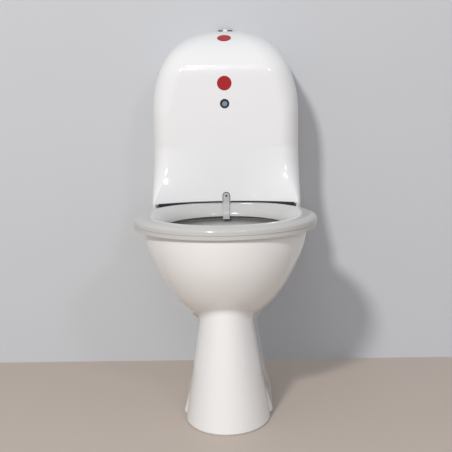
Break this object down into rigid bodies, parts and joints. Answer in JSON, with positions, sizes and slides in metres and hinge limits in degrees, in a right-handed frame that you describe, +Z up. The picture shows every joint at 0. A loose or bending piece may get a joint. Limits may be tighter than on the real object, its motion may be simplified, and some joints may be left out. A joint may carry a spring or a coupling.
{
  "type": "automatic toilet",
  "caption": "Floor-standing china toilet pan with a turning seat ring wiped by a fixed arm, under a tall arched white cover with red push buttons and a sensor.",
  "frame": {"origin": "on the floor, midway in width and in depth of the whole part", "axes": "+X to the user's left as they sit, which is the right of the picture, +Y towards the wall, +Z up"},
  "size_m": [0.3999, 0.6, 0.85],
  "materials": {
    "china": "glazed white vitreous china, glossy",
    "cover_plastic": "glossy white moulded plastic",
    "seat_plastic": "glossy light grey moulded plastic",
    "base_plastic": "satin light grey moulded plastic",
    "red_plastic": "glossy red moulded plastic",
    "slip_plastic": "natural slippery plastic",
    "gear_plastic": "natural gear plastic, satin",
    "black_rubber": "black rubber, matt",
    "steel": "zinc plated steel, satin",
    "dark_steel": "dark steel screw, satin",
    "motor_steel": "drawn steel can, satin",
    "zinc_sheet": "grey coated steel sheet, satin",
    "dark_plastic": "black moulded plastic, matt",
    "tank_plastic": "grey white cistern plastic, satin",
    "valve_plastic": "pale blue valve plastic, satin",
    "brass": "plain brass",
    "arm_metal": "light grey painted metal strip, satin",
    "sensor_plastic": "dark glossy plastic ring",
    "sensor_glass": "bluish clear window, glossy",
    "bottle_plastic": "translucent bottle plastic, satin",
    "tube_plastic": "clear soft tube, satin",
    "board_green": "green printed board, satin"
  },
  "bodies": {
    "fixed": {"pan": "china", "base_ring": "base_plastic", "glide_pads": "slip_plastic", "rim_buffers": "black_rubber", "gearbox_case": "dark_plastic", "gearbox_lid": "dark_plastic", "gearbox_screws": "steel", "drive_motor": "motor_steel", "chassis": "zinc_sheet", "deck_bolts": "steel", "deck_washers": "slip_plastic", "deck_nuts": "steel", "back_plate": "zinc_sheet", "latch_spring": "steel", "cistern_tank": "tank_plastic", "cistern_lid": "tank_plastic", "flush_valve": "valve_plastic", "flush_actuator": "dark_plastic", "tail_nut": "valve_plastic", "tail_gasket": "black_rubber", "fill_valve": "valve_plastic", "inlet_nut": "brass", "guide_arm": "arm_metal", "arm_screw": "dark_steel", "wiper_pad": "black_rubber", "cover": "cover_plastic", "front_button_sleeve": "dark_plastic", "front_switch": "dark_plastic", "top_button_sleeve": "dark_plastic", "top_switch": "dark_plastic", "sensor_housing": "sensor_plastic", "sensor_window": "sensor_glass", "fluid_bottle": "bottle_plastic", "bottle_cap": "red_plastic", "dosing_pump": "dark_plastic", "suction_tube": "tube_plastic", "wash_tube": "tube_plastic", "power_supply": "dark_plastic", "control_board": "board_green", "board_screws": "steel", "cable_gland": "dark_plastic"},
    "seat": {"seat_ring": "seat_plastic", "ring_gear": "gear_plastic"},
    "pinion": {"drive_pinion": "gear_plastic", "drive_shaft": "steel"},
    "front_button_cap": {"front_button": "red_plastic", "front_button_dome": "black_rubber"},
    "top_button_cap": {"top_button": "red_plastic", "top_button_dome": "black_rubber"},
    "flush_piston_body": {"flush_piston": "valve_plastic", "flush_seal": "black_rubber"},
    "float_body": {"float_cup": "tank_plastic"},
    "latch": {"latch_tab": "cover_plastic"}
  },
  "joints": [
    {"name": "seat_turn", "type": "hinge", "parent": "fixed", "child": "seat", "pos_m": [0, -0.1, 0.43], "axis": [0, 0, 1], "continuous": true},
    {"name": "pinion_turn", "type": "hinge", "parent": "fixed", "child": "pinion", "pos_m": [0, 0.108, 0.43], "axis": [0, 0, 1], "continuous": true},
    {"name": "front_button_press", "type": "slide", "parent": "fixed", "child": "front_button_cap", "axis": [0, 1, 0], "range_m": [0, 0.003], "stiffness_N_per_m": 300, "springref_m": -0.001},
    {"name": "top_button_press", "type": "slide", "parent": "fixed", "child": "top_button_cap", "axis": [0, 0.4124, -0.911], "range_m": [0, 0.003], "stiffness_N_per_m": 300, "springref_m": -0.001},
    {"name": "flush_lift", "type": "slide", "parent": "fixed", "child": "flush_piston_body", "axis": [0, 0, 1], "range_m": [0, 0.03]},
    {"name": "float_rise", "type": "slide", "parent": "fixed", "child": "float_body", "axis": [0, 0, 1], "range_m": [0, 0.11]},
    {"name": "latch_press", "type": "slide", "parent": "fixed", "child": "latch", "axis": [0, 0, -1], "range_m": [0, 0.004], "stiffness_N_per_m": 500, "springref_m": -0.002, "deforming": ["latch_spring"]}
  ],
  "couplings": [
    {"joint": "pinion_turn", "follows": "seat_turn", "ratio": -9.4}
  ]
}
